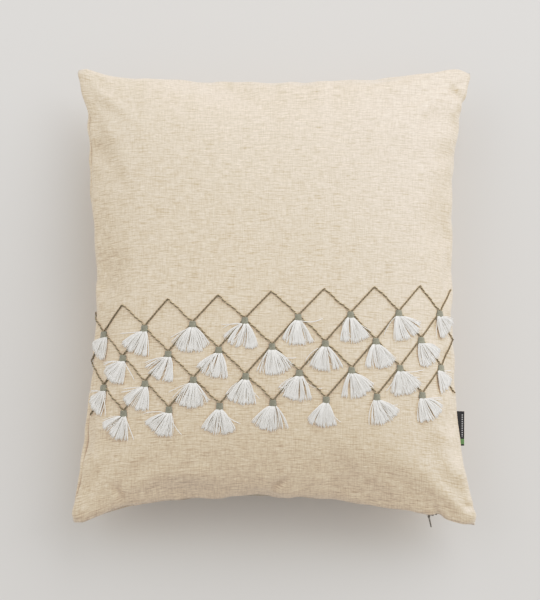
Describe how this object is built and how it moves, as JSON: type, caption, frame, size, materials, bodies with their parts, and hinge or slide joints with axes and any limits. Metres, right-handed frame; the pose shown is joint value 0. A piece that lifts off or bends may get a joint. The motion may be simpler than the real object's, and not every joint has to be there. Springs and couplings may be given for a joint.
{
  "type": "throw pillow",
  "caption": "Rectangular throw pillow with a zipped cover, filled insert, zigzag embroidered net, hinged yarn tassels and a side label.",
  "frame": {"origin": "middle of the flat the pillow rests on, under the crossing of its centre lines", "axes": "+Z out of the embroidered front, +Y to the plain top edge, +X to the labelled side; the zip is at -Y"},
  "size_m": [0.438, 0.5067, 0.1437],
  "materials": {
    "cover_linen": "undyed cotton and linen slub weave, matte",
    "insert_calico": "plain calico, matte",
    "wadding": "lofty white polyester fibre",
    "embroidery_cord": "twisted olive embroidery cord with sage satin-stitched bars",
    "tassel_yarn": "soft white cotton yarn",
    "zip_tape": "woven polyester tape, matte",
    "zip_nylon": "moulded nylon coil",
    "zip_metal": "dark gunmetal plating, satin",
    "label_weave": "black woven label with a green end, no lettering"
  },
  "bodies": {
    "cushion": {"front_panel": "cover_linen", "back_panel": "cover_linen", "insert_front_case": "insert_calico", "insert_back_case": "insert_calico", "filling": "wadding", "embroidery_row_1": "embroidery_cord", "embroidery_row_2": "embroidery_cord", "embroidery_row_3": "embroidery_cord", "embroidery_row_4": "embroidery_cord", "zip_tape_front": "zip_tape", "zip_tape_back": "zip_tape", "zip_coil_front": "zip_nylon", "zip_coil_back": "zip_nylon", "zip_top_stop": "zip_metal", "zip_bottom_stop": "zip_metal", "side_label": "label_weave"},
    "zip_slider": {"zip_slider": "zip_metal"},
    "zip_pull": {"zip_pull": "zip_metal"},
    "tassel_1_1": {"tassel_1_1": "tassel_yarn"},
    "tassel_1_2": {"tassel_1_2": "tassel_yarn"},
    "tassel_1_3": {"tassel_1_3": "tassel_yarn"},
    "tassel_1_4": {"tassel_1_4": "tassel_yarn"},
    "tassel_1_5": {"tassel_1_5": "tassel_yarn"},
    "tassel_1_6": {"tassel_1_6": "tassel_yarn"},
    "tassel_1_7": {"tassel_1_7": "tassel_yarn"},
    "tassel_1_8": {"tassel_1_8": "tassel_yarn"},
    "tassel_2_1": {"tassel_2_1": "tassel_yarn"},
    "tassel_2_2": {"tassel_2_2": "tassel_yarn"},
    "tassel_2_3": {"tassel_2_3": "tassel_yarn"},
    "tassel_2_4": {"tassel_2_4": "tassel_yarn"},
    "tassel_2_5": {"tassel_2_5": "tassel_yarn"},
    "tassel_2_6": {"tassel_2_6": "tassel_yarn"},
    "tassel_2_7": {"tassel_2_7": "tassel_yarn"},
    "tassel_3_1": {"tassel_3_1": "tassel_yarn"},
    "tassel_3_2": {"tassel_3_2": "tassel_yarn"},
    "tassel_3_3": {"tassel_3_3": "tassel_yarn"},
    "tassel_3_4": {"tassel_3_4": "tassel_yarn"},
    "tassel_3_5": {"tassel_3_5": "tassel_yarn"},
    "tassel_3_6": {"tassel_3_6": "tassel_yarn"},
    "tassel_3_7": {"tassel_3_7": "tassel_yarn"},
    "tassel_3_8": {"tassel_3_8": "tassel_yarn"},
    "tassel_4_1": {"tassel_4_1": "tassel_yarn"},
    "tassel_4_2": {"tassel_4_2": "tassel_yarn"},
    "tassel_4_3": {"tassel_4_3": "tassel_yarn"},
    "tassel_4_4": {"tassel_4_4": "tassel_yarn"},
    "tassel_4_5": {"tassel_4_5": "tassel_yarn"},
    "tassel_4_6": {"tassel_4_6": "tassel_yarn"},
    "tassel_4_7": {"tassel_4_7": "tassel_yarn"}
  },
  "joints": [
    {"name": "zip_run", "type": "hinge", "parent": "cushion", "child": "zip_slider", "pos_m": [0, -1.16691, 0.062], "axis": [0, 0, 1], "range_deg": [0, 20.6]},
    {"name": "zip_pull_swing", "type": "hinge", "parent": "zip_slider", "child": "zip_pull", "pos_m": [0.17106, -0.24351, 0.062], "axis": [0, 0, 1], "range_deg": [-84, 36]},
    {"name": "tassel_1_1_lift", "type": "hinge", "parent": "cushion", "child": "tassel_1_1", "pos_m": [-0.18617, -0.05969, 0.09621], "axis": [-0.6841, 0, -0.7294], "range_deg": [0, 90]},
    {"name": "tassel_1_2_lift", "type": "hinge", "parent": "cushion", "child": "tassel_1_2", "pos_m": [-0.13927, -0.0562, 0.12419], "axis": [-0.9417, 0, -0.3364], "range_deg": [0, 90]},
    {"name": "tassel_1_3_lift", "type": "hinge", "parent": "cushion", "child": "tassel_1_3", "pos_m": [-0.08699, -0.05215, 0.13687], "axis": [-0.989, 0, -0.1478], "range_deg": [0, 90]},
    {"name": "tassel_1_4_lift", "type": "hinge", "parent": "cushion", "child": "tassel_1_4", "pos_m": [-0.03135, -0.04777, 0.14184], "axis": [-0.9994, 0, -0.0334], "range_deg": [0, 90]},
    {"name": "tassel_1_5_lift", "type": "hinge", "parent": "cushion", "child": "tassel_1_5", "pos_m": [0.02531, -0.04327, 0.1422], "axis": [-0.9997, 0, 0.0248], "range_deg": [0, 90]},
    {"name": "tassel_1_6_lift", "type": "hinge", "parent": "cushion", "child": "tassel_1_6", "pos_m": [0.08091, -0.03884, 0.1382], "axis": [-0.9909, 0, 0.1342], "range_deg": [0, 90]},
    {"name": "tassel_1_7_lift", "type": "hinge", "parent": "cushion", "child": "tassel_1_7", "pos_m": [0.13311, -0.0347, 0.12673], "axis": [-0.9494, 0, 0.314], "range_deg": [0, 90]},
    {"name": "tassel_1_8_lift", "type": "hinge", "parent": "cushion", "child": "tassel_1_8", "pos_m": [0.17982, -0.03101, 0.10193], "axis": [-0.7498, 0, 0.6616], "range_deg": [0, 90]},
    {"name": "tassel_2_1_lift", "type": "hinge", "parent": "cushion", "child": "tassel_2_1", "pos_m": [-0.16245, -0.08731, 0.11332], "axis": [-0.8903, 0, -0.4554], "range_deg": [0, 90]},
    {"name": "tassel_2_2_lift", "type": "hinge", "parent": "cushion", "child": "tassel_2_2", "pos_m": [-0.11268, -0.08356, 0.13039], "axis": [-0.9771, 0, -0.213], "range_deg": [0, 90]},
    {"name": "tassel_2_3_lift", "type": "hinge", "parent": "cushion", "child": "tassel_2_3", "pos_m": [-0.05843, -0.07934, 0.13833], "axis": [-0.9971, 0, -0.076], "range_deg": [0, 90]},
    {"name": "tassel_2_4_lift", "type": "hinge", "parent": "cushion", "child": "tassel_2_4", "pos_m": [-0.00196, -0.07487, 0.14054], "axis": [-1, 0, -0.0006], "range_deg": [0, 90]},
    {"name": "tassel_2_5_lift", "type": "hinge", "parent": "cushion", "child": "tassel_2_5", "pos_m": [0.05448, -0.07037, 0.13933], "axis": [-0.9975, 0, 0.0703], "range_deg": [0, 90]},
    {"name": "tassel_2_6_lift", "type": "hinge", "parent": "cushion", "child": "tassel_2_6", "pos_m": [0.10871, -0.06603, 0.13232], "axis": [-0.9781, 0, 0.208], "range_deg": [0, 90]},
    {"name": "tassel_2_7_lift", "type": "hinge", "parent": "cushion", "child": "tassel_2_7", "pos_m": [0.15841, -0.06204, 0.11596], "axis": [-0.8946, 0, 0.4468], "range_deg": [0, 90]},
    {"name": "tassel_3_1_lift", "type": "hinge", "parent": "cushion", "child": "tassel_3_1", "pos_m": [-0.184, -0.11819, 0.09909], "axis": [-0.7855, 0, -0.6189], "range_deg": [0, 90]},
    {"name": "tassel_3_2_lift", "type": "hinge", "parent": "cushion", "child": "tassel_3_2", "pos_m": [-0.13721, -0.11485, 0.12147], "axis": [-0.9595, 0, -0.2817], "range_deg": [0, 90]},
    {"name": "tassel_3_3_lift", "type": "hinge", "parent": "cushion", "child": "tassel_3_3", "pos_m": [-0.08495, -0.11087, 0.13221], "axis": [-0.9928, 0, -0.1199], "range_deg": [0, 90]},
    {"name": "tassel_3_4_lift", "type": "hinge", "parent": "cushion", "child": "tassel_3_4", "pos_m": [-0.02927, -0.10652, 0.13661], "axis": [-0.9997, 0, -0.0247], "range_deg": [0, 90]},
    {"name": "tassel_3_5_lift", "type": "hinge", "parent": "cushion", "child": "tassel_3_5", "pos_m": [0.02746, -0.102, 0.13729], "axis": [-0.9997, 0, 0.0231], "range_deg": [0, 90]},
    {"name": "tassel_3_6_lift", "type": "hinge", "parent": "cushion", "child": "tassel_3_6", "pos_m": [0.08312, -0.09753, 0.13407], "axis": [-0.9925, 0, 0.1225], "range_deg": [0, 90]},
    {"name": "tassel_3_7_lift", "type": "hinge", "parent": "cushion", "child": "tassel_3_7", "pos_m": [0.13537, -0.09329, 0.12379], "axis": [-0.9557, 0, 0.2942], "range_deg": [0, 90]},
    {"name": "tassel_3_8_lift", "type": "hinge", "parent": "cushion", "child": "tassel_3_8", "pos_m": [0.18213, -0.08945, 0.10054], "axis": [-0.7669, 0, 0.6418], "range_deg": [0, 90]},
    {"name": "tassel_4_1_lift", "type": "hinge", "parent": "cushion", "child": "tassel_4_1", "pos_m": [-0.16027, -0.14599, 0.11042], "axis": [-0.935, 0, -0.3546], "range_deg": [0, 90]},
    {"name": "tassel_4_2_lift", "type": "hinge", "parent": "cushion", "child": "tassel_4_2", "pos_m": [-0.11058, -0.14235, 0.1235], "axis": [-0.9875, 0, -0.1577], "range_deg": [0, 90]},
    {"name": "tassel_4_3_lift", "type": "hinge", "parent": "cushion", "child": "tassel_4_3", "pos_m": [-0.05634, -0.13818, 0.1298], "axis": [-0.9986, 0, -0.0522], "range_deg": [0, 90]},
    {"name": "tassel_4_4_lift", "type": "hinge", "parent": "cushion", "child": "tassel_4_4", "pos_m": [0.00015, -0.13371, 0.13197], "axis": [-1, 0, 0], "range_deg": [0, 90]},
    {"name": "tassel_4_5_lift", "type": "hinge", "parent": "cushion", "child": "tassel_4_5", "pos_m": [0.05664, -0.12918, 0.13165], "axis": [-0.9984, 0, 0.0567], "range_deg": [0, 90]},
    {"name": "tassel_4_6_lift", "type": "hinge", "parent": "cushion", "child": "tassel_4_6", "pos_m": [0.11089, -0.12476, 0.12638], "axis": [-0.9842, 0, 0.1769], "range_deg": [0, 90]},
    {"name": "tassel_4_7_lift", "type": "hinge", "parent": "cushion", "child": "tassel_4_7", "pos_m": [0.16062, -0.12062, 0.11258], "axis": [-0.9162, 0, 0.4008], "range_deg": [0, 90]}
  ]
}
